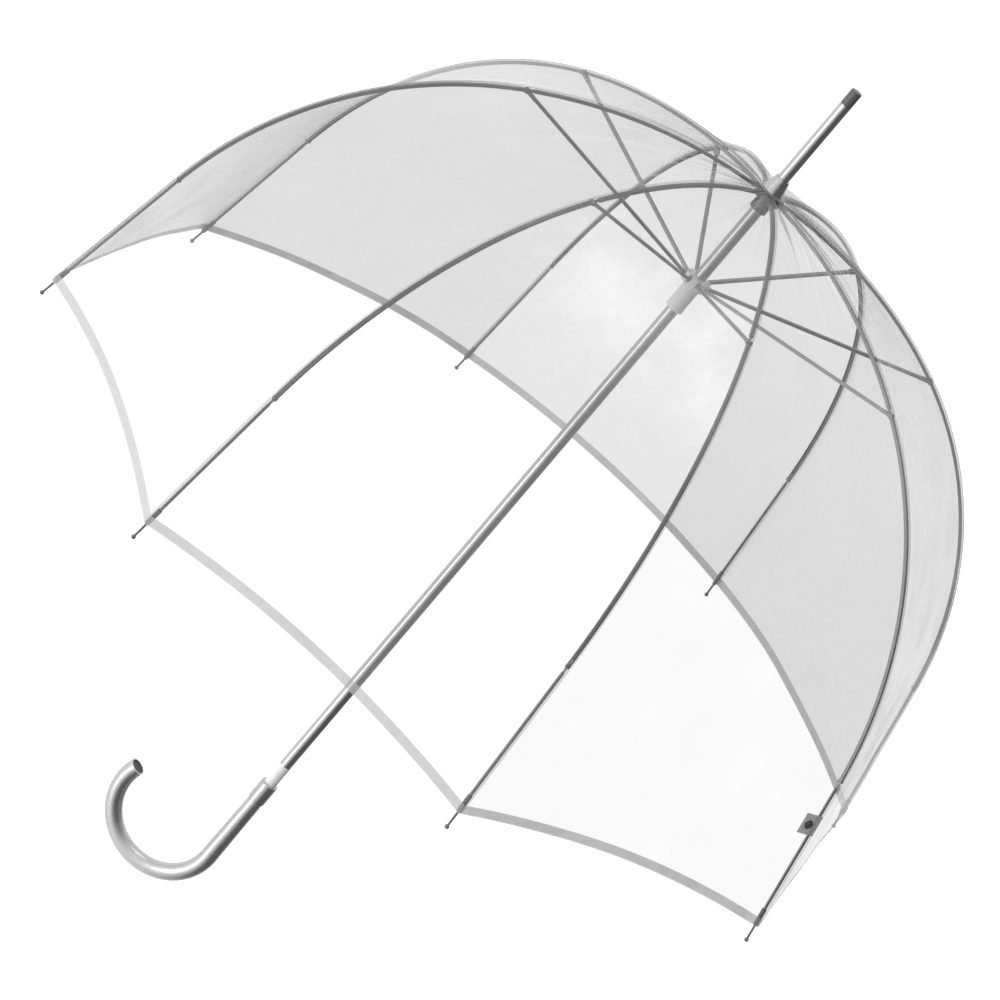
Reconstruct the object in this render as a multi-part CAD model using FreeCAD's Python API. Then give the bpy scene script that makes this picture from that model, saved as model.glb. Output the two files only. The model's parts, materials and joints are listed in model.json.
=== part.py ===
import FreeCAD, Part
import math
import os
from FreeCAD import Vector

# Clear dome umbrella on a stick with a hooked handle, shown open.
# Millimetres. +Z runs up the shaft to the ferrule. The origin is the middle of the hand grip, on the
# shaft's axis, and the hook bends towards -X. Ribs stand at 22.5, 67.5 ... 337.5 degrees from +X.

# ---- driving dimensions ----
RIB_COUNT = 8
FIRST_RIB_DEG = 22.5
HUB_Z = 731.0              # circle of rib hinges in the crown
HINGE_R = 10.0             # radius of that circle, and of the one in the runner

# one rib is three lengths: an arc to the stretcher joint, an arc to the splice, a straight wire
INNER_LEN = 206.0
MIDDLE_LEN = 297.0
OUTER_LEN = 136.0
HEADING_HUB = 1.0          # degrees above the horizontal, looking outwards
HEADING_JOINT = -27.5
HEADING_SPLICE = -77.5

CHANNEL_HALF_W = 1.5       # U-channel of the ribs
CHANNEL_HALF_H = 1.3
CHANNEL_WALL = 0.5
WIRE_R = 1.25              # round outer rib wire
TONGUE_HALF_W = 0.4
CHEEK_IN = 0.5
EYE_R = 2.0
RIVET_R = 0.8
PIN_GAP = 0.06             # radial running clearance at the rivets
LEAD = 6.0                 # distance from a hinge to where the channel starts

CROWN_EYE_HALF_W = 0.75
CROWN_EYE_R = 1.9
HINGE_WIRE_R = 0.6
HINGE_WIRE_GAP = 0.08

STRETCHER_HALF_W = 1.4
FORK_IN = 1.6
FORK_OUT = 2.3
FORK_EYE_R = 2.2
FORK_LEN = 9.0

SHAFT_R = 5.5
SHAFT_WALL = 0.6
FERRULE_Z0 = 18.0          # heights from here to CAP_Z1 are above the hub
FERRULE_Z1 = 96.0
CAP_Z1 = 110.5
FERRULE_R = 5.2            # a little slimmer than the shaft that it is plugged into
FERRULE_BORE_R = 2.5
CAP_R = 5.0
CAP_ROUND = 1.2
CAP_STEM_LEN = 12.0
SPIGOT_R = 4.85

NOTCH_R = 12.2
NOTCH_Z0 = -4.2
NOTCH_Z1 = 2.5
NOTCH_SLEEVE_Z0 = -15.0
SLEEVE_R = 7.6
SLOT_FLOOR_R = 7.9
CROWN_SLOT_W = 1.9
SLOT_HALF_H = 20.0         # the hinge slots are cut right through
WASHER_R = 13.5
WASHER_T = 1.2
WASHER_GAP = 0.15          # the film rises a hair from the crown outwards, under the washer
CROWN_CAP_R0 = 9.6
CROWN_CAP_R1 = 6.6

RUNNER_GAP = 0.06
RUNNER_HALF_H = 4.2
RUNNER_TOP = 4.5
RUNNER_BOTTOM = -29.0
RUNNER_SLOT_W = 3.4
RUNNER_TRAVEL = 313.0

CATCH_W = 2.0
CATCH_PEAK_R = 7.7
CATCH_ROOT_R = 3.0
CATCH_LEN = 22.0
CATCH_SIDE_GAP = 0.2
RUNNER_SLIT_W = 2.6
RUNNER_SLIT_R = 8.6
RUNNER_SLIT_LEN = 60.0
RUNNER_FOOT_H = 3.0
RUNNER_FOOT_LIP = 0.25
STOP_PIN_R = 1.0
STOP_PIN_PROUD = 1.4

FILM_T = 0.3
FILM_OFFSET = 3.0          # film's inner face above the ribs' centre line
FILM_HOLE_R = 6.3
HEM_RISE = 13.0            # how far the hem arches up between two tips
HEM_W = 8.0
HEM_T = 0.4
WEDGE_REACH = 460.0        # a block larger than one gore, which trims its two sides
WEDGE_DROP = 480.0
WEDGE_H = 520.0
GORE_HALF_SPAN = 200.0
HEM_BLOCK = 120.0
HEM_CUT_DEPTH = 30.0

TIP_SOCKET_R = 1.9
TIP_SOCKET_LEN = 15.0
TIP_NECK_R = 1.0
TIP_NECK_LEN = 13.0
TIP_KNOB_R = 1.9
RIVET_HEAD = 0.3

BUSH_Z1 = -661.0           # heights below the hub
BUSH_Z0 = -684.0
COLLAR_Z0 = -705.0
HOOK_Z = -776.0
COLLAR_R = 8.1
GRIP_TOP_R = 7.2
HOOK_TUBE_R = 8.0
HANDLE_WALL = 1.3
HOOK_R = 50.6
HOOK_SWEEP_DEG = 199.0
END_PLUG_LEN = 6.0
END_PLUG_INSET = 0.8
BUSH_PROUD = 0.1
BUSH_UPPER_LEN = 18.0
BUSH_LOWER_LEN = 15.0
COLLAR_CHAMFER = 0.6

STRAP_LEN = 18.0
STRAP_W = 16.0
STRAP_T = 0.6
STRAP_DROP = 31.0          # strap's upper edge, down the outer rib from the splice
STRAP_GAP = 0.5
SNAP_R = 3.8
SNAP_T = 1.4

AXIS_Y = Vector(0, 1, 0)
AXIS_Z = Vector(0, 0, 1)
HALF_GORE = math.radians(180.0 / RIB_COUNT)


def save(shape, name):
    shape.exportStep("parts/" + name + ".step")
    print(name, "solids", len(shape.Solids), "volume", round(shape.Volume, 1))


def unit(heading_deg):
    """Direction in a rib's own plane: x is outwards, z is up."""
    a = math.radians(heading_deg)
    return Vector(math.cos(a), 0, math.sin(a))


def outward(heading_deg):
    """Direction at right angles to a heading, to the outside of the dome."""
    return unit(heading_deg + 90.0)


class Arc:
    """A round stretch of a rib, which turns downwards from heading h0 to heading h1."""

    def __init__(self, start, h0, h1, length):
        self.start = start
        self.h0 = h0
        self.h1 = h1
        self.length = length
        self.radius = length / math.radians(h0 - h1)
        self.centre = start - outward(h0) * self.radius

    def heading(self, s):
        return self.h0 + (self.h1 - self.h0) * s / self.length

    def point(self, s, offset=0.0):
        return self.centre + outward(self.heading(s)) * (self.radius + offset)


HINGE = Vector(HINGE_R, 0, HUB_Z)
INNER = Arc(HINGE, HEADING_HUB, HEADING_JOINT, INNER_LEN)
JOINT = INNER.point(INNER_LEN)
MIDDLE = Arc(JOINT, HEADING_JOINT, HEADING_SPLICE, MIDDLE_LEN)
SPLICE = MIDDLE.point(MIDDLE_LEN)
CORNER = SPLICE + unit(HEADING_SPLICE) * OUTER_LEN
# the two equal arms of the linkage put the runner's hinge as far below the joint as the crown's is above
RUNNER_HINGE = Vector(HINGE_R, 0, 2 * JOINT.z - HUB_Z)
ARM_LEN = (JOINT - HINGE).Length
RUNNER_Z = RUNNER_HINGE.z
STRETCHER_HEADING = math.degrees(math.atan2(RUNNER_Z - JOINT.z, HINGE_R - JOINT.x))


def rib_angle(index):
    return FIRST_RIB_DEG + index * 360.0 / RIB_COUNT


def turned(shape, degrees):
    copy = shape.copy()
    copy.rotate(Vector(0, 0, 0), AXIS_Z, degrees)
    return copy


def tube(r_out, r_in, z0, z1):
    outer = Part.makeCylinder(r_out, z1 - z0, Vector(0, 0, z0))
    if r_in <= 0:
        return outer
    return outer.cut(Part.makeCylinder(r_in, z1 - z0, Vector(0, 0, z0)))


def bar(start, heading, d0, d1, half_h, y0, y1):
    """A flat bar that leaves a point along a heading, from distance d0 to d1."""
    along = unit(heading)
    up = outward(heading)
    first = start + along * d0 - up * half_h + AXIS_Y * y0
    corners = [first, first + along * (d1 - d0)]
    corners.append(corners[1] + up * (2 * half_h))
    corners.append(first + up * (2 * half_h))
    corners.append(first)
    return Part.Face(Part.makePolygon(corners)).extrude(AXIS_Y * (y1 - y0))


def disc(centre, radius, y0, y1):
    return Part.makeCylinder(radius, y1 - y0, centre + AXIS_Y * y0, AXIS_Y)


def eye_plate(centre, heading, reach, half_h, y0, y1, eye_r, hole_r):
    """A plate with a round eye at a hinge and a bar that leaves it."""
    plate = disc(centre, eye_r, y0, y1).fuse(bar(centre, heading, 0, reach, half_h, y0, y1))
    if hole_r > 0:
        plate = plate.cut(disc(centre, hole_r, y0 - 1, y1 + 1))
    return plate


def cheeks(centre, heading, reach, y_in, y_out, eye_r, hole_r):
    left = eye_plate(centre, heading, reach, CHANNEL_HALF_H, y_in, y_out, eye_r, hole_r)
    right = eye_plate(centre, heading, reach, CHANNEL_HALF_H, -y_out, -y_in, eye_r, hole_r)
    return left, right


def channel_face(at, heading, half_w):
    """Section of the U-channel, open to the inside of the dome."""
    up = outward(heading)
    low = -CHANNEL_HALF_H
    top = CHANNEL_HALF_H
    web = top - CHANNEL_WALL
    inner = half_w - CHANNEL_WALL
    outline = [(-half_w, low), (-half_w, top), (half_w, top), (half_w, low)]
    outline += [(inner, low), (inner, web), (-inner, web), (-inner, low), (-half_w, low)]
    points = [at + AXIS_Y * y + up * h for y, h in outline]
    return Part.Face(Part.makePolygon(points))


def channel_along(arc, s0, s1):
    face = channel_face(arc.point(s0), arc.heading(s0), CHANNEL_HALF_W)
    return face.revolve(arc.centre, AXIS_Y, arc.heading(s0) - arc.heading(s1))


def merged(shapes):
    body = shapes[0].multiFuse(list(shapes[1:]))
    return body.removeSplitter()


def make_rib_inner():
    eye = eye_plate(HINGE, HEADING_HUB, LEAD + 2, CHANNEL_HALF_H, -CROWN_EYE_HALF_W, CROWN_EYE_HALF_W,
                    CROWN_EYE_R, HINGE_WIRE_R + HINGE_WIRE_GAP)
    tongue = eye_plate(JOINT, HEADING_JOINT + 180, LEAD + 2, CHANNEL_HALF_H, -TONGUE_HALF_W,
                       TONGUE_HALF_W, EYE_R, RIVET_R + PIN_GAP)
    return merged([channel_along(INNER, LEAD, INNER_LEN - LEAD), eye, tongue])


def make_rib_middle():
    near = cheeks(JOINT, HEADING_JOINT, LEAD + 2, CHEEK_IN, CHANNEL_HALF_W, EYE_R, RIVET_R + PIN_GAP)
    far = cheeks(SPLICE, HEADING_SPLICE + 180, LEAD + 2, CHEEK_IN, CHANNEL_HALF_W, EYE_R,
                 RIVET_R + PIN_GAP)
    return merged([channel_along(MIDDLE, LEAD, MIDDLE_LEN - LEAD), *near, *far])


def make_rib_outer():
    tongue = eye_plate(SPLICE, HEADING_SPLICE, LEAD + 2, WIRE_R - 0.2, -TONGUE_HALF_W, TONGUE_HALF_W,
                       EYE_R, 0)
    rivet = disc(SPLICE, RIVET_R, -CHANNEL_HALF_W - RIVET_HEAD, CHANNEL_HALF_W + RIVET_HEAD)
    along = unit(HEADING_SPLICE)
    wire = Part.makeCylinder(WIRE_R, OUTER_LEN - LEAD - 1, SPLICE + along * LEAD, along)
    return merged([wire, tongue, rivet])


def make_rib_tip():
    along = unit(HEADING_SPLICE)
    socket = Part.makeCylinder(TIP_SOCKET_R, TIP_SOCKET_LEN, CORNER - along * TIP_SOCKET_LEN, along)
    socket = socket.cut(Part.makeCylinder(WIRE_R, TIP_SOCKET_LEN - 1, CORNER - along * TIP_SOCKET_LEN, along))
    neck = Part.makeCylinder(TIP_NECK_R, TIP_NECK_LEN + 1, CORNER - along * 0.5, along)
    knob = Part.makeSphere(TIP_KNOB_R, CORNER + along * (TIP_NECK_LEN + 1.3))
    return merged([socket, neck, knob])


def make_stretcher():
    fork = cheeks(JOINT, STRETCHER_HEADING, FORK_LEN + 1, FORK_IN, FORK_OUT, FORK_EYE_R, 0)
    rivet = disc(JOINT, RIVET_R, -FORK_OUT, FORK_OUT)
    yoke = bar(JOINT, STRETCHER_HEADING, FORK_LEN - 1, FORK_LEN + 1, CHANNEL_HALF_H, -FORK_OUT, FORK_OUT)
    start = JOINT + unit(STRETCHER_HEADING) * FORK_LEN
    face = channel_face(start, STRETCHER_HEADING + 180, STRETCHER_HALF_W)
    body = face.extrude(unit(STRETCHER_HEADING) * (ARM_LEN - FORK_LEN - LEAD))
    eye = eye_plate(RUNNER_HINGE, STRETCHER_HEADING + 180, LEAD + 2, CHANNEL_HALF_H, -STRETCHER_HALF_W,
                    STRETCHER_HALF_W, CROWN_EYE_R, HINGE_WIRE_R + HINGE_WIRE_GAP)
    return merged([body, *fork, rivet, yoke, eye])


def slots(z_mid, half_h, width):
    """Radial slots for the eight eyes."""
    box = Part.makeBox(NOTCH_R, width, 2 * half_h, Vector(SLOT_FLOOR_R, -width / 2, z_mid - half_h))
    return [turned(box, rib_angle(i)) for i in range(RIB_COUNT)]


def make_crown():
    """The toothed notch that holds the rib eyes on a ring of wire."""
    disk = tube(NOTCH_R, SHAFT_R, HUB_Z + NOTCH_Z0, HUB_Z + NOTCH_Z1)
    sleeve = tube(SLEEVE_R, SHAFT_R, HUB_Z + NOTCH_SLEEVE_Z0, HUB_Z + NOTCH_Z1)
    body = disk.fuse(sleeve)
    body = body.cut(slots(HUB_Z, SLOT_HALF_H, CROWN_SLOT_W))
    groove = Part.makeTorus(HINGE_R, HINGE_WIRE_R + 0.04, Vector(0, 0, HUB_Z))
    return body.cut(groove).removeSplitter()


def make_notch_wire():
    return Part.makeTorus(HINGE_R, HINGE_WIRE_R, Vector(0, 0, HUB_Z))


def catch_slit(width, radius):
    """Lengthwise slit in the runner, so that it rides over the two spring catches."""
    low = RUNNER_Z + RUNNER_BOTTOM - 1
    return Part.makeBox(width, radius, RUNNER_SLIT_LEN, Vector(-width / 2, 0, low))


def make_runner():
    bore = SHAFT_R + RUNNER_GAP
    sleeve = tube(SLEEVE_R, bore, RUNNER_Z + RUNNER_BOTTOM, RUNNER_Z + RUNNER_TOP)
    ring = tube(NOTCH_R, bore, RUNNER_Z - RUNNER_HALF_H, RUNNER_Z + RUNNER_HALF_H)
    foot_z = RUNNER_Z + RUNNER_BOTTOM
    foot = tube(SLEEVE_R + RUNNER_FOOT_LIP, bore, foot_z, foot_z + RUNNER_FOOT_H)
    body = sleeve.multiFuse([ring, foot])
    body = body.cut(slots(RUNNER_Z, SLOT_HALF_H, RUNNER_SLOT_W))
    body = body.cut(catch_slit(RUNNER_SLIT_W, RUNNER_SLIT_R))
    groove = Part.makeTorus(HINGE_R, HINGE_WIRE_R + 0.04, Vector(0, 0, RUNNER_Z))
    return body.cut(groove).removeSplitter()


def make_runner_wire():
    """The runner's hinge wire, left out across the slots so that the eyes can pass."""
    ring = Part.makeTorus(HINGE_R, HINGE_WIRE_R, Vector(0, 0, RUNNER_Z))
    return ring.cut(slots(RUNNER_Z, SLOT_HALF_H, RUNNER_SLOT_W))


def catch(ledge_z, down):
    """A spring catch: a square ledge that holds the runner, and a long ramp away from it."""
    tail_z = ledge_z + down * CATCH_LEN
    outline = [(CATCH_ROOT_R, ledge_z), (CATCH_PEAK_R, ledge_z), (CATCH_PEAK_R, ledge_z + down * 2)]
    outline += [(SHAFT_R - 0.8, tail_z), (CATCH_ROOT_R, tail_z), (CATCH_ROOT_R, ledge_z)]
    points = [Vector(-CATCH_W / 2, y, z) for y, z in outline]
    return Part.Face(Part.makePolygon(points)).extrude(Vector(CATCH_W, 0, 0))


TOP_LEDGE_Z = RUNNER_Z + RUNNER_BOTTOM - 0.8
BOTTOM_LEDGE_Z = RUNNER_Z - RUNNER_TRAVEL + RUNNER_TOP + 0.8
STOP_PIN_Z = RUNNER_Z + RUNNER_TOP + 1.5


def catch_window(ledge_z, down):
    width = CATCH_W + 2 * CATCH_SIDE_GAP
    low = min(ledge_z, ledge_z + down * CATCH_LEN) - 0.5
    return Part.makeBox(width, SHAFT_R + 1, CATCH_LEN + 1, Vector(-width / 2, 0, low))


def make_shaft():
    body = tube(SHAFT_R, SHAFT_R - SHAFT_WALL, HUB_Z + BUSH_Z1, HUB_Z + FERRULE_Z0)
    body = body.cut([catch_window(TOP_LEDGE_Z, -1), catch_window(BOTTOM_LEDGE_Z, 1)])
    return body.cut(disc(Vector(0, 0, STOP_PIN_Z), STOP_PIN_R, -SHAFT_R - 1, SHAFT_R + 1))


def make_stop_pin():
    reach = SHAFT_R + STOP_PIN_PROUD
    return disc(Vector(0, 0, STOP_PIN_Z), STOP_PIN_R, -reach, reach)


def make_ferrule():
    body = tube(FERRULE_R, FERRULE_BORE_R, HUB_Z + FERRULE_Z0, HUB_Z + FERRULE_Z1)
    spigot = tube(SPIGOT_R, FERRULE_BORE_R, HUB_Z - 2, HUB_Z + FERRULE_Z0)
    return body.fuse(spigot).removeSplitter()


def make_ferrule_cap():
    low = HUB_Z + FERRULE_Z1
    body = tube(CAP_R, 0, low, HUB_Z + CAP_Z1)
    rim = [e for e in body.Edges if abs(e.CenterOfMass.z - (HUB_Z + CAP_Z1)) < 0.01]
    body = body.makeFillet(CAP_ROUND, rim)
    return body.fuse(tube(FERRULE_BORE_R - 0.05, 0, low - CAP_STEM_LEN, low)).removeSplitter()


def make_crown_washer():
    low = HUB_Z + FILM_OFFSET + FILM_T + WASHER_GAP
    return tube(WASHER_R, SHAFT_R, low, low + WASHER_T)


def make_crown_cap():
    """Cone that presses the washer and the film down on the notch."""
    low = HUB_Z + FILM_OFFSET + FILM_T + WASHER_GAP + WASHER_T
    height = HUB_Z + FERRULE_Z0 - low
    cone = Part.makeCone(CROWN_CAP_R0, CROWN_CAP_R1, height, Vector(0, 0, low))
    return cone.cut(Part.makeCylinder(SHAFT_R, height, Vector(0, 0, low)))


def film_outline(offset, bottom):
    """Edges of one face of the film, in the plane through the middle of a gore."""
    squeeze = math.cos(HALF_GORE)

    def flat(p):
        return Vector(p.x * squeeze, 0, p.z)

    top = INNER.point(0, offset)
    inner_edge = Vector(FILM_HOLE_R * squeeze, 0, top.z)
    arcs = [(INNER, INNER_LEN), (MIDDLE, MIDDLE_LEN)]
    edges = [Part.makeLine(inner_edge, flat(top))]
    for arc, length in arcs:
        ends = [flat(arc.point(s, offset)) for s in (0, length / 2, length)]
        edges.append(Part.Arc(*ends).toShape())
    low = SPLICE + outward(HEADING_SPLICE) * offset + unit(HEADING_SPLICE) * bottom
    edges.append(Part.makeLine(flat(MIDDLE.point(MIDDLE_LEN, offset)), flat(low)))
    return edges, inner_edge, flat(low)


def gore_wedge():
    side = WEDGE_REACH * math.tan(HALF_GORE)
    base = Vector(0, 0, HUB_Z - WEDGE_DROP)
    points = [base, base + Vector(WEDGE_REACH, -side, 0), base + Vector(WEDGE_REACH, side, 0), base]
    return Part.Face(Part.makePolygon(points)).extrude(Vector(0, 0, WEDGE_H))


def hem_plane(offset):
    """Middle of the line between two rib corners, and the ways down and out of the film there."""
    squeeze = math.cos(HALF_GORE)
    corner = CORNER + outward(HEADING_SPLICE) * offset
    top = SPLICE + outward(HEADING_SPLICE) * offset
    middle = Vector(corner.x * squeeze, 0, corner.z)
    down = Vector((corner.x - top.x) * squeeze, 0, corner.z - top.z)
    down.normalize()
    return middle, down, Vector(-down.z, 0, down.x)


def hem_disc(offset, extra_r, depth):
    """Disc whose rim passes through two rib corners and rises HEM_RISE between them."""
    middle, down, out = hem_plane(offset)
    half_width = (CORNER + outward(HEADING_SPLICE) * offset).x * math.sin(HALF_GORE)
    radius = (half_width ** 2 + HEM_RISE ** 2) / (2 * HEM_RISE)
    centre = middle + down * (radius - HEM_RISE)
    return Part.makeCylinder(radius + extra_r, depth, centre, out)


def make_gore():
    inner_edges, inner_top, inner_low = film_outline(FILM_OFFSET, OUTER_LEN + 5)
    outer_edges, outer_top, outer_low = film_outline(FILM_OFFSET + FILM_T, OUTER_LEN + 5)
    edges = inner_edges + [Part.makeLine(inner_low, outer_low)]
    edges += outer_edges + [Part.makeLine(inner_top, outer_top)]
    wire = Part.Wire(Part.__sortEdges__(edges))
    wire.translate(Vector(0, -GORE_HALF_SPAN, 0))
    sheet = Part.Face(wire).extrude(Vector(0, 2 * GORE_HALF_SPAN, 0))
    sheet = sheet.common(gore_wedge())
    out = hem_plane(FILM_OFFSET)[2]
    waste = hem_disc(FILM_OFFSET, 0, HEM_CUT_DEPTH)
    waste.translate(out * (-HEM_CUT_DEPTH / 2))
    return sheet.cut(waste)


def make_hem():
    offset = FILM_OFFSET + FILM_T
    ring = hem_disc(offset, HEM_W, HEM_T).cut(hem_disc(offset, 0, HEM_T))
    corner = hem_plane(offset)[0] - Vector(HEM_BLOCK / 2, GORE_HALF_SPAN, HEM_BLOCK / 2)
    block = Part.makeBox(HEM_BLOCK, 2 * GORE_HALF_SPAN, HEM_BLOCK, corner)
    return ring.common(block).common(gore_wedge())


def ring_of(shape, first_deg):
    copies = [turned(shape, first_deg + i * 360.0 / RIB_COUNT) for i in range(RIB_COUNT)]
    return Part.makeCompound(copies)


def strap_frame():
    """Strap's corner on the outside of the film beside the last rib, and its three directions."""
    rib = rib_angle(RIB_COUNT - 1)
    offset = FILM_OFFSET + FILM_T + STRAP_GAP
    turn = FreeCAD.Rotation(AXIS_Z, rib)
    along = turn.multVec(unit(HEADING_SPLICE))
    out = FreeCAD.Rotation(AXIS_Z, rib - math.degrees(HALF_GORE)).multVec(hem_plane(offset)[2])
    across = along.cross(out)
    start = turn.multVec(SPLICE + outward(HEADING_SPLICE) * offset)
    start = start + along * STRAP_DROP + across * 1.5
    return start, along, across, out


def make_strap():
    start, along, across, out = strap_frame()
    corners = [start, start + along * STRAP_LEN]
    corners.append(corners[1] + across * STRAP_W)
    corners.append(start + across * STRAP_W)
    corners.append(start)
    tab = Part.Face(Part.makePolygon(corners)).extrude(out * STRAP_T)
    # the edge beside the rib is a round bead, on which the strap swings
    bead = Part.makeCylinder(STRAP_T / 2, STRAP_LEN, start + out * (STRAP_T / 2), along)
    return tab.fuse(bead).removeSplitter()


def make_snap():
    start, along, across, out = strap_frame()
    centre = start + along * (STRAP_LEN / 2) + across * (STRAP_W * 0.6) + out * STRAP_T
    stud = Part.makeCylinder(SNAP_R, SNAP_T * 0.5, centre, out)
    return stud.fuse(Part.makeCylinder(SNAP_R * 0.5, SNAP_T, centre, out)).removeSplitter()


def make_bush():
    """White joint between the shaft and the handle, plugged into both."""
    middle = tube(SHAFT_R + BUSH_PROUD, 0, HUB_Z + BUSH_Z0, HUB_Z + BUSH_Z1)
    upper = tube(SPIGOT_R, 0, HUB_Z + BUSH_Z1, HUB_Z + BUSH_Z1 + BUSH_UPPER_LEN)
    lower = tube(SPIGOT_R, 0, HUB_Z + COLLAR_Z0 - BUSH_LOWER_LEN, HUB_Z + BUSH_Z0)
    return merged([middle, upper, lower])


def make_collar():
    body = tube(COLLAR_R, SPIGOT_R, HUB_Z + COLLAR_Z0, HUB_Z + BUSH_Z0)
    rims = [e for e in body.Edges if e.Length > 6.2 * COLLAR_R]
    return body.makeChamfer(COLLAR_CHAMFER, rims)


def hook_solid(top_r, tube_r, sweep):
    """Straight grip that widens downwards, and the hook that follows it."""
    top = HUB_Z + COLLAR_Z0
    bottom = HUB_Z + HOOK_Z
    grip = Part.makeCone(tube_r, top_r, top - bottom, Vector(0, 0, bottom))
    circle = Part.Face(Part.Wire(Part.makeCircle(tube_r, Vector(0, 0, bottom), AXIS_Z)))
    bend = circle.revolve(Vector(-HOOK_R, 0, bottom), AXIS_Y, sweep)
    return grip.fuse(bend)


def make_handle():
    body = hook_solid(GRIP_TOP_R, HOOK_TUBE_R, HOOK_SWEEP_DEG)
    hollow = hook_solid(GRIP_TOP_R - HANDLE_WALL, HOOK_TUBE_R - HANDLE_WALL, HOOK_SWEEP_DEG)
    body = body.cut(hollow)
    return body.removeSplitter()


def make_end_plug():
    r = HOOK_TUBE_R - HANDLE_WALL
    sweep = math.degrees(END_PLUG_LEN / HOOK_R)
    inset = math.degrees(END_PLUG_INSET / HOOK_R)
    bottom = HUB_Z + HOOK_Z
    circle = Part.Face(Part.Wire(Part.makeCircle(r, Vector(0, 0, bottom), AXIS_Z)))
    circle.rotate(Vector(-HOOK_R, 0, bottom), AXIS_Y, HOOK_SWEEP_DEG - inset - sweep)
    return circle.revolve(Vector(-HOOK_R, 0, bottom), AXIS_Y, sweep)


def main():
    os.makedirs("parts", exist_ok=True)
    rib_parts = {
        "rib_inner": make_rib_inner(),
        "rib_middle": make_rib_middle(),
        "rib_outer": make_rib_outer(),
        "rib_tip": make_rib_tip(),
        "stretcher": make_stretcher(),
    }
    for name, shape in rib_parts.items():
        for i in range(RIB_COUNT):
            save(turned(shape, rib_angle(i)), name + "_" + str(i + 1))
    save(ring_of(make_gore(), 0), "canopy_film")
    save(ring_of(make_hem(), 0), "hem_tape")
    singles = {
        "shaft_tube": make_shaft(),
        "ferrule": make_ferrule(),
        "ferrule_cap": make_ferrule_cap(),
        "crown_notch": make_crown(),
        "notch_wire": make_notch_wire(),
        "crown_washer": make_crown_washer(),
        "crown_cap": make_crown_cap(),
        "runner": make_runner(),
        "runner_wire": make_runner_wire(),
        "top_catch": catch(TOP_LEDGE_Z, -1),
        "bottom_catch": catch(BOTTOM_LEDGE_Z, 1),
        "stop_pin": make_stop_pin(),
        "handle_bush": make_bush(),
        "handle_collar": make_collar(),
        "handle": make_handle(),
        "handle_end_plug": make_end_plug(),
        "tie_strap": make_strap(),
        "strap_snap": make_snap(),
    }
    for name, shape in singles.items():
        save(shape, name)
    print("joint", JOINT, "splice", SPLICE, "corner", CORNER, "runner hinge", RUNNER_HINGE)


main()
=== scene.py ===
# %% [markdown]
# A clear dome umbrella on a stick, open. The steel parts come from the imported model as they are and
# get their finishes here. The film can't: it is one thin, glossy, slightly creased sheet, so it is laid
# over the ribs in this script, gore by gore, as grids of points that are moved onto the rib lines.

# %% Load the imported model
import json
import math
import random

import bmesh
import bpy
from mathutils import Matrix, Vector, noise


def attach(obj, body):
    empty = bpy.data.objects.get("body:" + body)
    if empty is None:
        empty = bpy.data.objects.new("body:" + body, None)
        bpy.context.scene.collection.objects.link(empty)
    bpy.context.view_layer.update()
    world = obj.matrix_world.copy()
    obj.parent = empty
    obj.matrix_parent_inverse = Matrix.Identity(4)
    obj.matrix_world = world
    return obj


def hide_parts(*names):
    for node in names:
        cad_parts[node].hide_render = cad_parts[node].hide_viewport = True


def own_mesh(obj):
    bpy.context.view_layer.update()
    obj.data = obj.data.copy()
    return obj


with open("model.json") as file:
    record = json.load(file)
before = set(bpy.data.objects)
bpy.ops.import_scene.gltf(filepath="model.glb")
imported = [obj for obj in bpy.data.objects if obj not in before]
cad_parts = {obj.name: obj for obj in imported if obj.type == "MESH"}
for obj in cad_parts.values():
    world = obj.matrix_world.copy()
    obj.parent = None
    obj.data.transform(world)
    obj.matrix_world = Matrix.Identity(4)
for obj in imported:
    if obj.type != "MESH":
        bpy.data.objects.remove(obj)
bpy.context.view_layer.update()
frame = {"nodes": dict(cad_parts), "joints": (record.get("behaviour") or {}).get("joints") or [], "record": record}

random.seed(20)

# %% [markdown]
# The camera stands a little above the rim and looks down the dome with a long lens, and it is rolled so
# that the stick leans across the picture. A long lens keeps the near and far ribs almost the same size.

# %% Camera
CAMERA_AT = Vector((0.2823, -2.8084, 1.4338))
LOOK_AT = Vector((-0.0068, -0.0007, 0.3841))
ROLL = math.radians(-40.28)
LENS_MM = 130.0


def aim(obj, at, target, roll=0.0):
    """Puts a camera or a lamp at a point and turns it to face another."""
    facing = (target - at).to_track_quat("-Z", "Y").to_matrix().to_4x4()
    obj.matrix_world = Matrix.Translation(at) @ facing @ Matrix.Rotation(roll, 4, "Z")


camera = bpy.data.objects.new("camera", bpy.data.cameras.new("camera"))
camera.data.sensor_width = 36.0
camera.data.lens = LENS_MM
camera.data.clip_end = 100.0
bpy.context.scene.collection.objects.link(camera)
bpy.context.scene.camera = camera
aim(camera, CAMERA_AT, LOOK_AT, -ROLL)
print("camera", LENS_MM, "mm, distance", round((CAMERA_AT - LOOK_AT).length, 2), "m")

# %% [markdown]
# Every finish is a small tree of nodes. One helper adds a node, sets it and links it, and one turns the
# hex colours, which are sRGB as a paint chart gives them, into the linear values that a shader needs.

# %% Node and colour helpers
def srgb(code):
    """Linear colour of an sRGB hex code such as #c8c8c8."""
    parts = [int(code[i:i + 2], 16) / 255 for i in (1, 3, 5)]
    return tuple(c / 12.92 if c <= 0.04045 else ((c + 0.055) / 1.055) ** 2.4 for c in parts) + (1.0,)


def add(tree, kind, sockets=None, **settings):
    """Adds one node. A socket's value is a number or colour, or the output socket that feeds it."""
    node = tree.nodes.new(kind)
    for name, value in settings.items():
        setattr(node, name, value)
    for name, value in (sockets or {}).items():
        if isinstance(value, bpy.types.NodeSocket):
            tree.links.new(value, node.inputs[name])
        else:
            node.inputs[name].default_value = value
    return node


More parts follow.
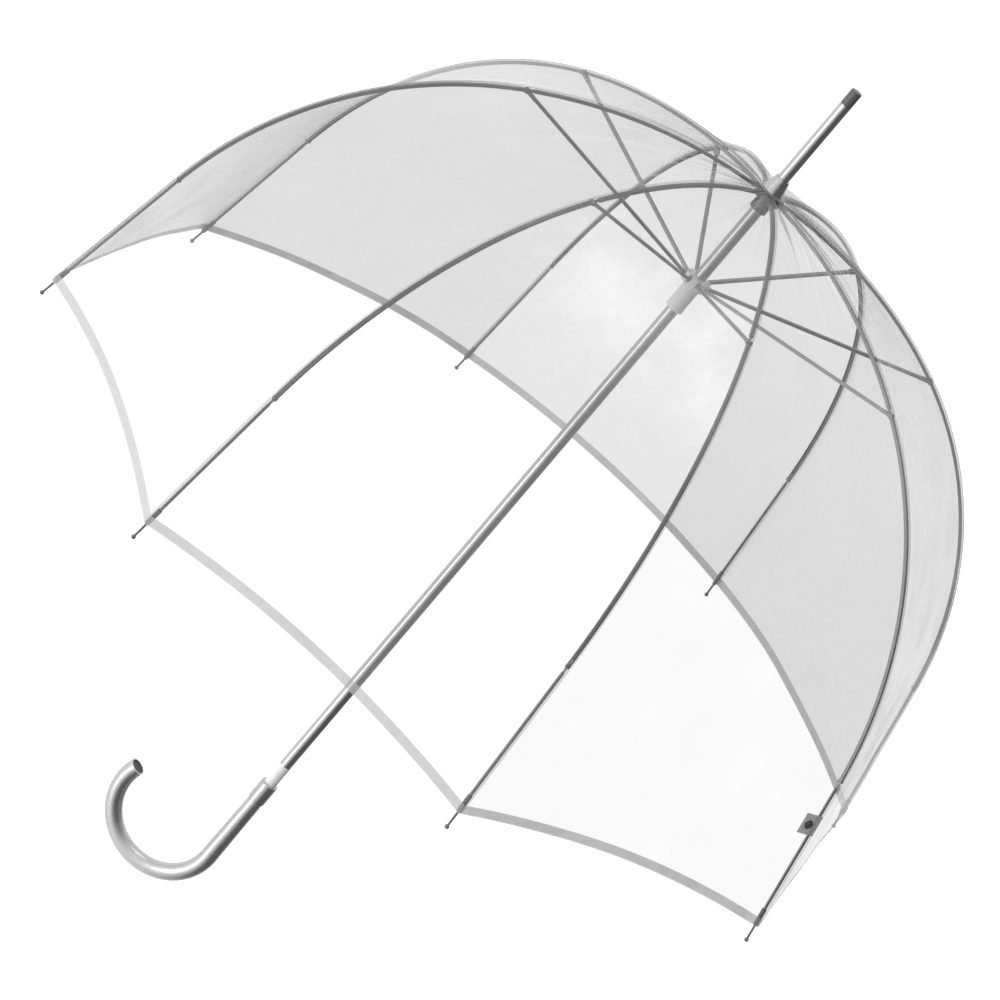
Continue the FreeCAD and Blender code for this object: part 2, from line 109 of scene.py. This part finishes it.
def new_material(name):
    """A material with an empty tree and its output node."""
    material = bpy.data.materials.new(name)
    material.use_nodes = True
    tree = material.node_tree
    tree.nodes.clear()
    return material, tree, add(tree, "ShaderNodeOutputMaterial")


print("a mid grey, #808080, is", [round(c, 3) for c in srgb("#808080")[:3]], "in linear light")

# %% [markdown]
# The stage is a plain pale floor well below the object, and a white surround. Clear film has almost no
# colour of its own: it shows by what it takes from the white behind it and by what it mirrors. So the
# lens sees a backdrop a little brighter than white, as glassware is shot: one sheet of film in front of
# it stays white and two turn grey. Mirrors see a pale room with one dark side, to the right, which
# gives every tube a dark flank and a light one. The floor is only there for the lens.

# %% The floor
BACKDROP = 1.42
FLOOR_Z = -1.3
FLOOR_HALF = 40.0


def lens_white(tree, kind, seen_by_others):
    """White for the lens, from a light-giving node, and another shader for every other ray."""
    path = add(tree, "ShaderNodeLightPath")
    white = add(tree, kind, {"Color": (1, 1, 1, 1), "Strength": BACKDROP})
    return add(tree, "ShaderNodeMixShader", {0: path.outputs["Is Camera Ray"], 1: seen_by_others.outputs[0],
                                             2: white.outputs[0]}).outputs[0]


floor_paint, tree, out = new_material("pale_floor_paint")
unseen = add(tree, "ShaderNodeBsdfTransparent")
tree.links.new(lens_white(tree, "ShaderNodeEmission", unseen), out.inputs["Surface"])
bm = bmesh.new()
bmesh.ops.create_grid(bm, x_segments=1, y_segments=1, size=FLOOR_HALF)
bmesh.ops.translate(bm, verts=bm.verts, vec=(0, 0, FLOOR_Z))
floor_mesh = bpy.data.meshes.new("floor")
bm.to_mesh(floor_mesh)
bm.free()
floor = bpy.data.objects.new("floor", floor_mesh)
floor.data.materials.append(floor_paint)
bpy.context.scene.collection.objects.link(floor)
print("floor at", FLOOR_Z, "m, backdrop", BACKDROP)

# %% [markdown]
# The surround that the tubes mirror is pale, and falls off softly to dark on one side. A plain white
# room would leave chrome and nickel without a shape.

# %% The surround
ROOM_PALE = 0.92
ROOM_DARK = 0.12
DARK_SIDE = (0.96, -0.25, -0.12)
FILM_LAYERS_MOST = 48

world = bpy.data.worlds.new("surround")
bpy.context.scene.world = world
world.use_nodes = True
tree = world.node_tree
tree.nodes.clear()
way = add(tree, "ShaderNodeTexCoord").outputs["Generated"]
turned = add(tree, "ShaderNodeVectorMath", {0: way, 1: DARK_SIDE}, operation="DOT_PRODUCT")
shade = add(tree, "ShaderNodeMapRange", {"Value": turned.outputs["Value"], "From Min": 0.1,
                                         "From Max": 0.8, "To Min": ROOM_PALE, "To Max": ROOM_DARK},
            interpolation_type="SMOOTHSTEP")
room = add(tree, "ShaderNodeBackground", {"Color": (1, 1, 1, 1), "Strength": shade.outputs[0]})
surround_out = add(tree, "ShaderNodeOutputWorld")
tree.links.new(lens_white(tree, "ShaderNodeBackground", room), surround_out.inputs["Surface"])
bpy.context.scene.view_settings.view_transform = "Standard"
bpy.context.scene.cycles.transparent_max_bounces = FILM_LAYERS_MOST
print("room", ROOM_PALE, "falling to", ROOM_DARK, "on the dark side")

# %% [markdown]
# Two soft lamps. The larger stands low at the front left, because a tube that stands upright mirrors
# what is below the lens: it gives the stick its long white line. The other hangs above for the crown.

# %% Lamps
def softbox(name, at, target, width, height, radiance):
    """A rectangular lamp that looks equally bright from everywhere in front of it."""
    lamp = bpy.data.lights.new(name, "AREA")
    lamp.shape = "RECTANGLE"
    lamp.size = width
    lamp.size_y = height
    lamp.energy = radiance * math.pi * width * height
    obj = bpy.data.objects.new(name, lamp)
    bpy.context.scene.collection.objects.link(obj)
    aim(obj, Vector(at), Vector(target))
    return obj


DOME_MIDDLE = (0, 0, 0.5)
softbox("front_left_softbox", (-1.7, -2.3, -0.3), DOME_MIDDLE, 0.9, 2.4, 3.0)
softbox("overhead_softbox", (-0.6, -0.3, 3.0), DOME_MIDDLE, 1.6, 1.2, 1.8)
print("lamps", len(bpy.data.lights))

# %% [markdown]
# The film is laid over the ribs, so the ribs' lines come first. In a rib's own upright plane a rib is an
# arc from the crown's hinge to the stretcher joint, an arc to the splice, and a straight wire to the
# tip. The hinges' places come from the model's joints. The headings are the ribs' slopes at those points.

# %% Rib lines
MM = 0.001
RIB_COUNT = 8
HALF_GORE = math.pi / RIB_COUNT
FIRST_RIB = math.radians(22.5)
HEADINGS = [math.radians(a) for a in (1.0, -27.5, -77.5, -77.5)]
OUTER_LENGTH = 136 * MM
FILM_LIFT = 3.15 * MM


def joint_point(name):
    """A joint's place as (distance from the stick, height)."""
    x, y, z = next(j["pos_m"] for j in frame["joints"] if j["name"] == name)
    return Vector((math.hypot(x, y), z))


def along(heading):
    """The way that a rib runs, in its own plane."""
    return Vector((math.cos(heading), math.sin(heading)))


def outward(heading):
    """The way out of the dome, square to the rib, in the rib's own plane."""
    return Vector((-math.sin(heading), math.cos(heading)))


def ring_turn(half_gores):
    """Turn about the stick from the first rib, counted in half gores."""
    return Matrix.Rotation(FIRST_RIB + half_gores * HALF_GORE, 3, "Z")


class Stretch:
    """One length of a rib, from t = 0 at its inner end to t = 1 at its outer end."""

    def __init__(self, body, start, end, h0, h1, travelled):
        self.body = body
        self.start = start
        self.end = end
        self.h0 = h0
        self.h1 = h1
        self.travelled = travelled
        chord = (end - start).length
        turn = h0 - h1
        self.radius = chord / (2 * math.sin(turn / 2)) if turn else 0.0
        self.length = self.radius * turn if turn else chord

    def heading(self, t):
        """Slope of the rib at t."""
        return self.h0 + (self.h1 - self.h0) * t

    def at(self, t, lift):
        """A point above the rib at t, as (distance from the stick, height)."""
        if not self.radius:
            return self.start + (self.end - self.start) * t + outward(self.h0) * lift
        centre = self.start - outward(self.h0) * self.radius
        return centre + outward(self.heading(t)) * (self.radius + lift)


print("half a gore is", round(math.degrees(HALF_GORE), 1), "degrees")

# %% [markdown]
# The three lengths follow one another from hinge to tip, and each knows how far along the rib it starts.

# %% The three lengths of a rib
hinge = joint_point("rib_hinge_1")
joint = joint_point("rib_bend_1")
splice = joint_point("splice_bend_1")
corner = splice + along(HEADINGS[3]) * OUTER_LENGTH
INNER = Stretch("rib_inner", hinge, joint, HEADINGS[0], HEADINGS[1], 0.0)
MIDDLE = Stretch("rib_middle", joint, splice, HEADINGS[1], HEADINGS[2], INNER.length)
OUTER = Stretch("rib_outer", splice, corner, HEADINGS[2], HEADINGS[3], INNER.length + MIDDLE.length)
STRETCHES = [INNER, MIDDLE, OUTER]
RIB_LENGTH = OUTER.travelled + OUTER.length
print("rib length", round(RIB_LENGTH / MM), "mm, rim radius", round(corner.x / MM), "mm")

# %% [markdown]
# Film that is pulled over curved ribs doesn't stay a flat panel. Between two ribs it draws in a little
# towards the stick, and it keeps creases: a fan of fine ridges from the crown, where eight points are
# gathered, pulls from each tip, and a slow waviness all over. They could be simulated, but the sheet is
# stretched and hardly moves, so a formula gives the same shape in no time and the same every run.
# A place in a gore is its distance along the rib and v, from -1 at one rib to 1 at the next.

# %% Ridges from the crown
FAN_RIDGES = 15
FAN_EDGE = 0.9
FAN_WIDTHS = (0.03, 0.08)
FAN_HEIGHT = 1.7 * MM
FAN_REACHES = (70, 190)
FAN_SPREAD = 0.15
FAN_RISE = 25 * MM


def make_fan():
    """Ridges of one gore: where each runs, how wide and high it is, and how far it reaches."""
    ridges = []
    for _ in range(FAN_RIDGES):
        place = random.uniform(-FAN_EDGE, FAN_EDGE)
        width = random.uniform(*FAN_WIDTHS)
        height = random.uniform(-1.0, 1.0) * FAN_HEIGHT
        reach = random.uniform(*FAN_REACHES) * MM
        ridges.append((place, width, height, reach))
    return ridges


FANS = [make_fan() for _ in range(RIB_COUNT)]


def fan_height(gore, distance, v):
    """Height of the crown's ridges, which start low and die out down the gore."""
    height = 0.0
    for place, width, peak, reach in FANS[gore]:
        lean = place * (1 + FAN_SPREAD * distance / RIB_LENGTH)
        fade = math.exp(-(distance / reach) ** 2) * min(1.0, distance / FAN_RISE)
        height += peak * fade * math.exp(-((v - lean) / width) ** 2)
    return height


print("ridges per gore", FAN_RIDGES)

# %% [markdown]
# Each tip pulls on its two gores, and three creases run from it into each. The slow waviness is
# what blown film keeps from the roll. All creases die out at the ribs, where the weld holds the film.

# %% Pulls from the tips, and waviness
TIP_PULLS = ((0.55, 0.8), (1.1, -0.7), (1.9, 0.6))
PULL_WIDTH = 0.05
PULL_FLARE = 0.25
PULL_REACH = 0.22
PULL_EDGE = 0.06
WAVE_LENGTH = 95 * MM
WAVE_HEIGHT = 1.8 * MM
WAVES_ACROSS = 1.6
WAVE_STEP = 7.3


def pull_height(distance, v):
    """Height of the creases that run from both tips. TIP_PULLS holds their slopes and heights in mm."""
    from_tip = (RIB_LENGTH - distance) / RIB_LENGTH
    fade = math.exp(-(from_tip / PULL_REACH) ** 2)
    height = 0.0
    for side in (-1, 1):
        across = abs(v - side)
        for slope, peak in TIP_PULLS:
            pull = math.exp(-((across - slope * from_tip) / (PULL_WIDTH + PULL_FLARE * from_tip)) ** 2)
            height += peak * MM * pull * fade * min(1.0, across / PULL_EDGE)
    return height


def creases(gore, distance, v):
    """Height of all creases above the smooth film, in metres."""
    spot = Vector((distance / WAVE_LENGTH, v * WAVES_ACROSS, gore * WAVE_STEP))
    wave = WAVE_HEIGHT * noise.noise(spot) * (1 - v * v)
    return (fan_height(gore, distance, v) + pull_height(distance, v) + wave) * (1 - v ** 8)


highest = max(abs(creases(0, RIB_LENGTH * i / 60, j / 30)) for i in range(60) for j in range(-30, 31))
print("highest crease", round(highest / MM, 2), "mm")

# %% [markdown]
# A point of the film starts on the line of the two ribs, sinks in towards the stick between them, and
# takes up the creases. The hem is cut in a shallow scallop, higher at the gore's middle than at its ribs.

# %% A point of the film
DRAW_IN = 7.0 * MM
DRAW_REACH = 1.05
DRAW_POWER = 0.8
HEM_RISE = 13.0 * MM


def film_point(gore, stretch, t, v, lift=0.0):
    """A point of the film, at t along one length of the ribs and v across the gore."""
    line = stretch.at(t, FILM_LIFT + lift)
    heading = stretch.heading(t)
    distance = stretch.travelled + t * stretch.length
    share = distance / RIB_LENGTH
    draw = DRAW_IN * math.sin(math.pi * min(1.0, share * DRAW_REACH)) ** DRAW_POWER * (1 - v * v)
    bump = creases(gore, distance, v) - draw
    facing = Vector((-math.sin(heading), 0, math.cos(heading) * math.cos(HALF_GORE))).normalized()
    local = Vector((line.x * math.cos(HALF_GORE), line.x * math.sin(HALF_GORE) * v, line.y)) + facing * bump
    return ring_turn(2 * gore + 1) @ local


def hem_end(v):
    """How far down the outer stretch the film reaches, as a share of its length."""
    return 1.0 - HEM_RISE * (1 - v * v) / OUTER.length


print("the hem rises", round((1 - hem_end(0)) * OUTER.length / MM, 1), "mm at a gore's middle")

# %% [markdown]
# Each rib carries half a gore to its left and half to its right, cut again at its two joints, so that
# every piece can follow one length of rib when the umbrella is closed. Neighbouring pieces share their
# edge points. Their shading would still show a line there, because each mesh works out its normals
# alone, so the normals are worked out from the film's own formula and given to every piece. A piece
# that would face inwards is turned over first, because turning it later would turn its normals too.

# %% A piece of sheet, and its place in a gore
def strip(name, columns, rows, place, turn_over=False, normal_of=None):
    """A piece of sheet: a grid whose points, from (0, 0) to (1, 1), are moved to place(x, y)."""
    bm = bmesh.new()
    bmesh.ops.create_grid(bm, x_segments=columns, y_segments=rows, size=0.5)
    spots = [(vert.co.x + 0.5, vert.co.y + 0.5) for vert in bm.verts]
    for vert, spot in zip(bm.verts, spots):
        vert.co = place(*spot)
    if turn_over:
        bmesh.ops.reverse_faces(bm, faces=bm.faces)
    mesh = bpy.data.meshes.new(name)
    bm.to_mesh(mesh)
    bm.free()
    mesh.shade_smooth()
    piece = bpy.data.objects.new(name, mesh)
    bpy.context.scene.collection.objects.link(piece)
    if normal_of:
        mesh.normals_split_custom_set_from_vertices([normal_of(*spot) for spot in spots])
    return piece


def side_name(side):
    """Which half gore of a rib: side is 1 for the left one and -1 for the right one."""
    return "left" if side > 0 else "right"


def half_gore(rib, side):
    """Gore number, and the function that turns 0 at the rib to 1 at the gore's middle into v."""
    if side > 0:
        return rib - 1, lambda x: x - 1
    return (rib - 2) % RIB_COUNT, lambda x: 1 - x


print("rib 1 has gores", half_gore(1, 1)[0], "and", half_gore(1, -1)[0])

# %% [markdown]
# A closed umbrella's film lies in loose folds against its ribs. The folds can't be hinged one by one.
# For each piece, the one direction that lies in the film and is square to that length of rib is worked
# out, with the point on the rib that stays put, but the piece is not narrowed along it.


def fold_axis(rib, side, stretch):
    """Direction across the film, square to that length of rib, and the point that stays put."""
    run = (stretch.end - stretch.start).normalized()
    run = Vector((run.x, 0, run.y))
    across = Vector((-math.sin(HALF_GORE), side * math.cos(HALF_GORE), 0))
    across = (across - run * across.dot(run)).normalized()
    turn = ring_turn(2 * (rib - 1))
    start = stretch.at(0, FILM_LIFT)
    return turn @ across, turn @ Vector((start.x, 0, start.y))


def gather(piece, rib, side, stretch):
    """The piece rides on its rib. Its fold direction and anchor are worked out, but it is not gathered."""
    axis, anchor = fold_axis(rib, side, stretch)
    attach(piece, f"{stretch.body}_{rib}")
    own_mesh(piece)
    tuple(axis)
    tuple(anchor)


# %% [markdown]
# The film starts a little way out from the crown's hinges, under the washer, and its last row is the hem.

# %% Laying the film
START_T = 2.0 * MM / INNER.length
ROWS = {"rib_inner": 44, "rib_middle": 56, "rib_outer": 26}
COLUMNS = 30
SLOPE_STEP = 0.002


def lay_film(rib, side, stretch):
    """One piece of film: half a gore, over one length of rib."""
    gore, to_v = half_gore(rib, side)

    def share(x, y):
        first = START_T if stretch is INNER else 0.0
        last = hem_end(to_v(x)) if stretch is OUTER else 1.0
        return first + (last - first) * y

    def place(x, y):
        return film_point(gore, stretch, share(x, y), to_v(x))

    def normal(x, y):
        t, v = share(x, y), to_v(x)
        down = film_point(gore, stretch, t + SLOPE_STEP, v) - film_point(gore, stretch, t - SLOPE_STEP, v)
        over = film_point(gore, stretch, t, v + SLOPE_STEP) - film_point(gore, stretch, t, v - SLOPE_STEP)
        return down.cross(over).normalized()

    name = f"film_{stretch.body[4:]}_{rib}_{side_name(side)}"
    piece = strip(name, COLUMNS, ROWS[stretch.body], place, side > 0, normal)
    gather(piece, rib, side, stretch)
    return piece


film = {(rib, side, stretch.body): lay_film(rib, side, stretch)
        for rib in range(1, RIB_COUNT + 1) for side in (1, -1) for stretch in STRETCHES}
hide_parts("canopy_film")
print("film pieces", len(film))

# %% [markdown]
# The rim of each gore is bound with a tape, a strip of milky film welded along the edge. It is opaque
# enough to draw the scalloped outline of the whole umbrella. It lies on the outside of the film, is
# 8 mm wide and follows the hem's curve, so it is laid with the same formula, a little further out. Like
# the film it is far thinner than wide, and it is a single sheet without a thickness of its own.

# %% Hem tape
HEM_WIDTH = 8 * MM
HEM_ROWS = 4
HEM_LIFT = 0.35 * MM
HEM_OVERHANG = 0.8 * MM


def lay_hem(rib, side):
    """Tape along the rim of half a gore."""
    gore, to_v = half_gore(rib, side)

    def place(x, y):
        v = to_v(x)
        t = hem_end(v) + (y - 1) * HEM_WIDTH / OUTER.length + HEM_OVERHANG / OUTER.length
        return film_point(gore, OUTER, t, v, HEM_LIFT)

    piece = strip(f"hem_tape_{rib}_{side_name(side)}", COLUMNS, HEM_ROWS, place, side > 0)
    gather(piece, rib, side, OUTER)
    return piece


hem = {(rib, side): lay_hem(rib, side) for rib in range(1, RIB_COUNT + 1) for side in (1, -1)}
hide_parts("hem_tape")
print("hem pieces", len(hem))

# %% [markdown]
# Where two gores meet over a rib they are welded, and the weld shows as a narrow, slightly milky band
# that runs the length of the rib on the outside. It is only a few millimetres wide, so it needs no
# folding: one strip lies over each length of rib and moves with it.

# %% Welded seams
SEAM_WIDTH = 5.0 * MM
SEAM_LIFT = 0.25 * MM
SEAM_COLUMNS = 4
SEAM_ROWS = 40
SEAM_STOP = 0.995


def lay_seam(rib, stretch):
    """The weld over one length of a rib."""
    turn = ring_turn(2 * (rib - 1))
    last = SEAM_STOP if stretch is OUTER else 1.0

    def place(x, y):
        line = stretch.at(START_T + (last - START_T) * y, FILM_LIFT + SEAM_LIFT)
        off = (x - 0.5) * SEAM_WIDTH
        return turn @ Vector((line.x - abs(off) * math.tan(HALF_GORE), off, line.y))

    piece = strip(f"seam_{stretch.body[4:]}_{rib}", SEAM_COLUMNS, SEAM_ROWS, place, True)
    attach(piece, f"{stretch.body}_{rib}")
    return piece


seams = [lay_seam(rib, stretch) for rib in range(1, RIB_COUNT + 1) for stretch in STRETCHES]
print("seams", len(seams))

# %% [markdown]
# Thin sheet shows at once when it is inside out: it mirrors the wrong half of the room. So every piece
# is measured. All faces should look out of the dome, and shading normals should agree with their faces.

# %% Check which way the sheets face
def faces_out(piece):
    """Share of a piece's faces that look away from the middle of the dome."""
    faces = piece.data.polygons
    return sum((f.center - Vector(DOME_MIDDLE)).dot(f.normal) > 0 for f in faces) / len(faces)


def shading_agrees(piece):
    """Least agreement, up to 1, between a face and the normals that it is shaded with."""
    mesh = piece.data
    return min(mesh.corner_normals[i].vector.dot(f.normal) for f in mesh.polygons for i in f.loop_indices)


for kind, pieces in (("film", film.values()), ("hem", hem.values()), ("seam", seams)):
    print(kind, "faces out", round(min(faces_out(p) for p in pieces), 3),
          "shading agrees", round(min(shading_agrees(p) for p in pieces), 3))

# %% [markdown]
# A gore is cut from the roll as one flat leaf. The flat area of each of its six pieces follows from
# its length along the rib and three widths by Simpson's rule, and the areas are summed.

flat_total = 0.0
for (rib, side, body), piece in film.items():
    stretch = next(s for s in STRETCHES if s.body == body)
    widths = [stretch.at(t, FILM_LIFT).x * math.sin(HALF_GORE) for t in (0.0, 0.5, 1.0)]
    flat_area = stretch.length * (widths[0] + 4 * widths[1] + widths[2]) / 6
    flat_total += flat_area
print("film as cut", round(flat_total, 3), "square metres")

# %% [markdown]
# The film is PVC or POE sheet, blown and pressed, 0.15 to 0.3 mm thick. It hardly absorbs light: seen
# square on it only greys what is behind it a little, and towards its edges it mirrors the room. Slight
# haze in the sheet spreads a trace of the light. A transparent layer mixed with gloss gives that without
# bending the view behind it, and real film this thin doesn't bend it either. The Fresnel node takes a
# sheet's inner side for the inside of a block, so the share of gloss is Schlick's fifth power of the slant,
# which is the same from both sides. The rolls leave the skin smoother in some patches than in others,
# which frays the edges of what it mirrors.

# %% Clear film
film_finish, tree, out = new_material("clear_pvc_film_pressed")
FILM_REFLECTANCE = 0.08
FILM_REFLECTANCE_EDGE_ON = 0.6
MOTTLE_SIZE = 45 * MM
RIPPLE_DEPTH = 3 * MM
where = add(tree, "ShaderNodeTexCoord")
mottle = add(tree, "ShaderNodeTexNoise", {"Vector": where.outputs["Object"], "Scale": 1 / MOTTLE_SIZE,
                                          "Detail": 3.0})
ripple = add(tree, "ShaderNodeBump", {"Height": mottle.outputs[0], "Strength": 0.5,
                                       "Distance": RIPPLE_DEPTH})
slant = add(tree, "ShaderNodeLayerWeight", {"Blend": 0.5, "Normal": ripple.outputs[0]}).outputs["Facing"]
tint = add(tree, "ShaderNodeMix", {"Factor": slant, "A": srgb("#e3e3e3"), "B": srgb("#dadada")},
           data_type="RGBA")
through = add(tree, "ShaderNodeBsdfTransparent", {"Color": tint.outputs["Result"]})
haze = add(tree, "ShaderNodeBsdfDiffuse", {"Color": srgb("#f0f0f0"), "Roughness": 0.3})
skin = add(tree, "ShaderNodeMapRange", {"Value": mottle.outputs[0], "From Min": 0.35, "From Max": 0.65,
                                        "To Min": 0.2, "To Max": 0.48})
gloss = add(tree, "ShaderNodeBsdfGlossy", {"Color": (1, 1, 1, 1), "Roughness": skin.outputs[0],
                                           "Normal": ripple.outputs[0]})
milk = add(tree, "ShaderNodeMapRange", {"Value": mottle.outputs[0], "From Min": 0.3, "From Max": 0.7,
                                        "To Min": 0.04, "To Max": 0.09})
body = add(tree, "ShaderNodeMixShader", {0: milk.outputs[0], 1: through.outputs[0], 2: haze.outputs[0]})
fifth = add(tree, "ShaderNodeMath", {0: slant, 1: 5.0}, operation="POWER")
mirror = add(tree, "ShaderNodeMapRange", {"Value": fifth.outputs[0], "To Min": FILM_REFLECTANCE,
                                          "To Max": FILM_REFLECTANCE_EDGE_ON})
surface = add(tree, "ShaderNodeMixShader", {0: mirror.outputs[0], 1: body.outputs[0], 2: gloss.outputs[0]})
tree.links.new(surface.outputs[0], out.inputs["Surface"])
for piece in film.values():
    piece.data.materials.append(film_finish)
print("film mirrors", FILM_REFLECTANCE, "square on and", FILM_REFLECTANCE_EDGE_ON, "edge on")

# %% [markdown]
# The tape and the welds are the same kind of sheet, only cloudier. Milky fillers in the tape, and the
# heat and pressure of the welding bar in the seams, leave a sheet that is partly solid to the eye, more
# in some places than in others. So both are one recipe: clear and milky, mixed by cloudy patches.

# %% Milky tape and welded seams
def cloudy_sheet(name, clear, milk, roughness, cloud_size, milk_share):
    """A sheet between clear and milky. milk_share is its least and greatest share of milk."""
    material, tree, out = new_material(name)
    through = add(tree, "ShaderNodeBsdfTransparent", {"Color": srgb(clear)})
    where = add(tree, "ShaderNodeTexCoord")
    cloud = add(tree, "ShaderNodeTexNoise", {"Vector": where.outputs["Object"], "Scale": 1 / cloud_size,
                                             "Detail": 2.0})
    milky = add(tree, "ShaderNodeBsdfPrincipled", {"Base Color": srgb(milk), "Roughness": roughness,
                                                   "IOR": 1.5})
    share = add(tree, "ShaderNodeMapRange", {"Value": cloud.outputs[0], "From Min": 0.3, "From Max": 0.7,
                                             "To Min": milk_share[0], "To Max": milk_share[1]})
    sheet = add(tree, "ShaderNodeMixShader", {0: share.outputs[0], 1: through.outputs[0],
                                              2: milky.outputs[0]})
    tree.links.new(sheet.outputs[0], out.inputs["Surface"])
    return material


hem_finish = cloudy_sheet("milky_pe_tape_welded", "#f2f2f2", "#c6c6c6", 0.35, 25 * MM, (0.54, 0.66))
seam_finish = cloudy_sheet("clear_pvc_film_welded", "#e0e0e0", "#d4d4d4", 0.3, 30 * MM, (0.08, 0.18))
for piece in hem.values():
    piece.data.materials.append(hem_finish)
for piece in seams:
    piece.data.materials.append(seam_finish)
print("tapes", len(hem), "in", hem_finish.name, "and seams", len(seams), "in", seam_finish.name)

# %% [markdown]
# Metals differ by how they were finished. Drawn and plated tube keeps fine lines along its length, so
# its highlight is slightly spread; the pressed ribs are duller; the handle was tumbled to a satin.
# One function makes such a metal from its colour, its roughness, and the size of its marks.

# %% Metals
EVEN = (1, 1, 1)
ROUND_THE_STICK = (0.2, 0.2, 1)
ALONG_THE_STICK = (1, 1, 0.04)
ROUGHNESS_SPREAD = 0.08
MARK_DEPTH = 0.03 * MM


def metal(name, colour, roughness, grain, lines=EVEN):
    """A metal whose roughness and colour vary over marks of a real size, stretched along lines."""
    material, tree, out = new_material(name)
    where = add(tree, "ShaderNodeTexCoord")
    along_part = add(tree, "ShaderNodeMapping", {"Vector": where.outputs["Object"], "Scale": lines})
    marks = add(tree, "ShaderNodeTexNoise", {"Vector": along_part.outputs[0], "Scale": 1 / grain,
                                             "Detail": 5.0})
    rough = add(tree, "ShaderNodeMapRange", {"Value": marks.outputs[0], "From Min": 0.25, "From Max": 0.75,
                                             "To Min": roughness - ROUGHNESS_SPREAD,
                                             "To Max": roughness + ROUGHNESS_SPREAD})
    tone = add(tree, "ShaderNodeMix", {"Factor": marks.outputs[0], "A": srgb(colour[0]),
                                       "B": srgb(colour[1])},
               data_type="RGBA")
    dents = add(tree, "ShaderNodeBump", {"Height": marks.outputs[0], "Strength": 0.6,
                                          "Distance": MARK_DEPTH})
    shell = add(tree, "ShaderNodeBsdfPrincipled", {"Base Color": tone.outputs["Result"], "Metallic": 1.0,
                                                   "Roughness": rough.outputs[0], "Normal": dents.outputs[0]})
    tree.links.new(shell.outputs[0], out.inputs["Surface"])
    return material


shaft_finish = metal("bright_nickel_plate_on_drawn_steel", ("#c4c4c4", "#d8d8d8"), 0.22, 1.2 * MM,
                     ALONG_THE_STICK)
rib_finish = metal("zinc_plate_on_pressed_steel", ("#848484", "#989898"), 0.36, 3 * MM)
wire_finish = metal("bright_spring_wire_drawn", ("#989898", "#acacac"), 0.3, 1 * MM)
crown_finish = metal("nickel_plate_on_turned_brass", ("#5c5c5c", "#707070"), 0.3, 1.5 * MM, ROUND_THE_STICK)
handle_finish = metal("satin_nickel_on_bent_steel_tube", ("#c8c8c8", "#dcdcdc"), 0.32, 2 * MM)
collar_finish = metal("satin_nickel_on_turned_steel", ("#c0c0c0", "#d4d4d4"), 0.28, 1.2 * MM,
                      ROUND_THE_STICK)
print("metals, with marks", MARK_DEPTH / MM, "mm deep")

# %% [markdown]
# The plastics are moulded: the runner in milky nylon, the bush in white acetal, the tips and the cap
# in a grey that was coloured in the mass. Moulded plastic has a faint orange-peel skin and a slightly
# uneven tone. The washer and the strap are stamped from sheet, and let some of the light through.

# %% Plastics
PEEL_DEPTH = 0.04 * MM


def plastic(name, colour, roughness, grain, see_through=0.0):
    """A plastic: its two tones, the size of its skin's texture, and the share of light let through."""
    material, tree, out = new_material(name)
    where = add(tree, "ShaderNodeTexCoord")
    skin = add(tree, "ShaderNodeTexNoise", {"Vector": where.outputs["Object"], "Scale": 1 / grain,
                                            "Detail": 3.0})
    peel = add(tree, "ShaderNodeBump", {"Height": skin.outputs[0], "Strength": 0.4, "Distance": PEEL_DEPTH})
    tone = add(tree, "ShaderNodeMix", {"Factor": skin.outputs[0], "A": srgb(colour[0]), "B": srgb(colour[1])},
               data_type="RGBA")
    body = add(tree, "ShaderNodeBsdfPrincipled", {"Base Color": tone.outputs["Result"],
                                                  "Roughness": roughness, "IOR": 1.5,
                                                  "Normal": peel.outputs[0]})
    shown = body.outputs[0]
    if see_through:
        clear = add(tree, "ShaderNodeBsdfTransparent", {"Color": srgb("#f0f0f0")})
        shown = add(tree, "ShaderNodeMixShader", {0: see_through, 1: shown, 2: clear.outputs[0]}).outputs[0]
    tree.links.new(shown, out.inputs["Surface"])
    return material


runner_finish = plastic("milky_nylon_moulded", ("#e6e6e6", "#f2f2f2"), 0.3, 1.5 * MM)
bush_finish = plastic("white_acetal_moulded", ("#f6f6f6", "#fdfdfd"), 0.3, 1.2 * MM)
tip_finish = plastic("grey_nylon_moulded", ("#6e6e6e", "#7c7c7c"), 0.4, 1 * MM)
cap_finish = plastic("dark_grey_abs_moulded", ("#5c5c5c", "#6a6a6a"), 0.35, 1 * MM)
washer_finish = plastic("clear_pvc_washer_stamped", ("#b9b9b9", "#c9c9c9"), 0.2, 2 * MM, see_through=0.6)
plug_finish = plastic("dark_pe_plug_moulded", ("#3a3a3a", "#484848"), 0.45, 1 * MM)
strap_finish = plastic("milky_pvc_strap_stamped", ("#c4c4c4", "#d0d0d0"), 0.35, 4 * MM, see_through=0.35)

FINISH_OF_SLOT = {
    "tip_plastic": tip_finish, "rib_steel": rib_finish, "clear_film": film_finish, "hem_tape": hem_finish,
    "shaft_steel": shaft_finish, "ferrule_steel": shaft_finish, "dark_cap": cap_finish,
    "spring_wire": wire_finish, "crown_metal": crown_finish, "clear_washer": washer_finish,
    "runner_plastic": runner_finish, "white_bush": bush_finish, "collar_metal": collar_finish,
    "handle_metal": handle_finish, "end_plug": plug_finish, "strap_film": strap_finish,
    "snap_metal": wire_finish,
}
print("slots with a finish", len(FINISH_OF_SLOT))

# %% [markdown]
# The record names a material slot for every part, so the finishes are handed out by slot. The conical
# cap shares the crown's slot but is a paler, satin piece, so it takes the collar's finish.

# %% Dress the steel and plastic parts
for subpart in frame["record"]["subparts"]:
    part = frame["nodes"][subpart["node"]]
    part.data.materials.clear()
    part.data.materials.append(FINISH_OF_SLOT[subpart["material_slot"]])
frame["nodes"]["crown_cap"].data.materials[0] = collar_finish
print("finished parts", len(frame["nodes"]))
